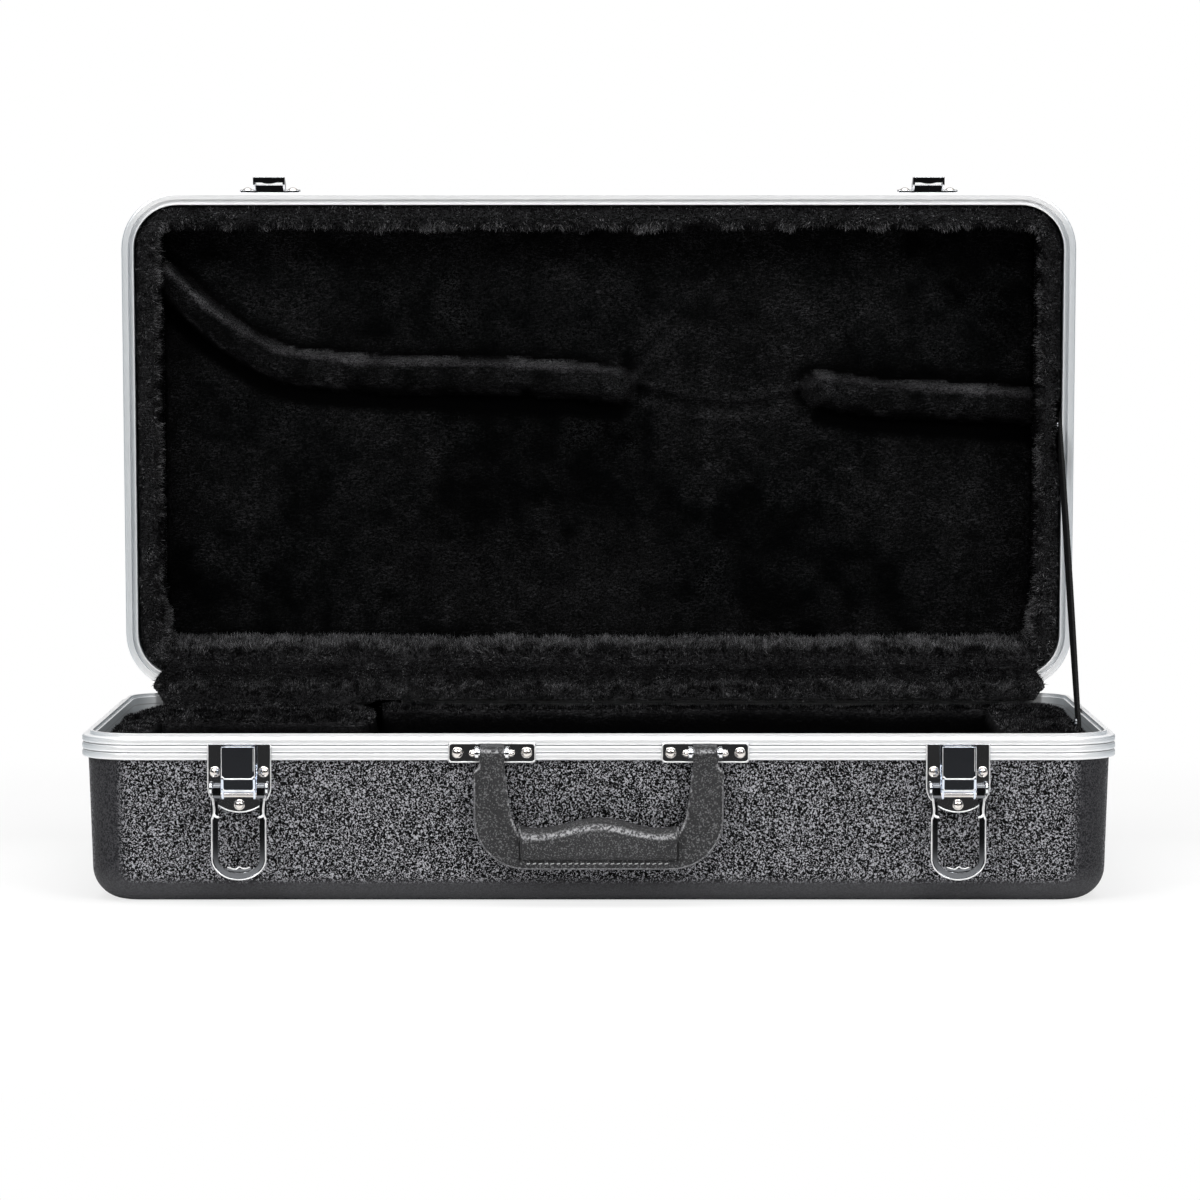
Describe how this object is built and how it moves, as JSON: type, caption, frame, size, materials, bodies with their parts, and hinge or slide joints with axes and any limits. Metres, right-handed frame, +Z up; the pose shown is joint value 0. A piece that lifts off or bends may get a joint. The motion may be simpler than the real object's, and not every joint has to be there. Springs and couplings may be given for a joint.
{
  "type": "trumpet case",
  "caption": "Hard-shell trumpet case with a hinged plush-lined lid, metal rims, draw latches, a drop handle and a stay strap.",
  "frame": {"origin": "middle of the base's flat bottom", "axes": "+X along the case's length, to the right seen from the front; +Y from the front, with the handle, to the hinges; +Z up"},
  "size_m": [0.558, 0.3675, 0.3939],
  "materials": {
    "shell_plastic": "black moulded plastic with a pebble grain",
    "rim_aluminium": "satin extruded aluminium",
    "plush": "black plush lining over foam",
    "chrome": "bright nickel-chrome plate on pressed steel",
    "handle_vinyl": "charcoal grained vinyl over a moulded core, stitched",
    "strap_webbing": "black woven webbing",
    "hinge_steel": "nickel plated steel"
  },
  "bodies": {
    "case_base": {"base_shell": "shell_plastic", "base_rim": "rim_aluminium", "base_floor_pad": "plush", "front_bolster_left": "plush", "front_bolster_right": "plush", "valve_rest_pad": "plush", "left_end_pad": "plush", "right_end_block": "plush", "mouthpiece_block": "plush", "back_wall_pad": "plush", "well_divider": "plush", "hinge_pins": "hinge_steel", "hinge_rivets_base": "hinge_steel", "latch_rivets": "chrome", "handle_bracket_rivets": "chrome", "handle_rods": "chrome", "stay_anchor_base": "chrome", "stay_strap": "strap_webbing", "hinge_flap": "plush", "hinge_leaf_base_left": "hinge_steel", "hinge_leaf_base_right": "hinge_steel", "latch_plate_left": "chrome", "latch_plate_right": "chrome", "handle_bracket_left": "chrome", "handle_bracket_right": "chrome"},
    "lid": {"lid_shell": "shell_plastic", "lid_rim": "rim_aluminium", "lid_wall_pad": "plush", "lid_ceiling_pad": "plush", "lid_roll_left": "plush", "lid_roll_right": "plush", "hinge_rivets_lid": "hinge_steel", "keeper_rivets": "chrome", "stay_anchor_lid": "chrome", "hinge_leaf_lid_left": "hinge_steel", "hinge_leaf_lid_right": "hinge_steel", "keeper_left": "chrome", "keeper_right": "chrome"},
    "handle": {"handle_strap": "handle_vinyl", "handle_grip": "handle_vinyl"},
    "bail_left": {"latch_bail_left": "chrome", "latch_crank_pin_left": "chrome"},
    "hook_left": {"latch_hook_left": "chrome"},
    "bail_right": {"latch_bail_right": "chrome", "latch_crank_pin_right": "chrome"},
    "hook_right": {"latch_hook_right": "chrome"}
  },
  "joints": [
    {"name": "lid_hinge", "type": "hinge", "parent": "case_base", "child": "lid", "pos_m": [0, 0.1498, 0.0893], "axis": [1, 0, 0], "range_deg": [0, 85.4], "deforming": ["stay_strap", "hinge_flap"]},
    {"name": "handle_swing", "type": "hinge", "parent": "case_base", "child": "handle", "pos_m": [0, -0.1523, 0.0816], "axis": [-1, 0, 0], "range_deg": [0, 165]},
    {"name": "bail_left_swing", "type": "hinge", "parent": "case_base", "child": "bail_left", "pos_m": [-0.192, -0.152, 0.0628], "axis": [-1, 0, 0], "range_deg": [0, 165]},
    {"name": "hook_left_link", "type": "hinge", "parent": "bail_left", "child": "hook_left", "pos_m": [-0.192, -0.152, 0.0593], "axis": [-1, 0, 0], "range_deg": [-165, 0]},
    {"name": "bail_right_swing", "type": "hinge", "parent": "case_base", "child": "bail_right", "pos_m": [0.192, -0.152, 0.0628], "axis": [-1, 0, 0], "range_deg": [0, 165]},
    {"name": "hook_right_link", "type": "hinge", "parent": "bail_right", "child": "hook_right", "pos_m": [0.192, -0.152, 0.0593], "axis": [-1, 0, 0], "range_deg": [-165, 0]}
  ],
  "couplings": [
    {"joint": "hook_left_link", "follows": "bail_left_swing", "ratio": -1},
    {"joint": "hook_right_link", "follows": "bail_right_swing", "ratio": -1}
  ]
}
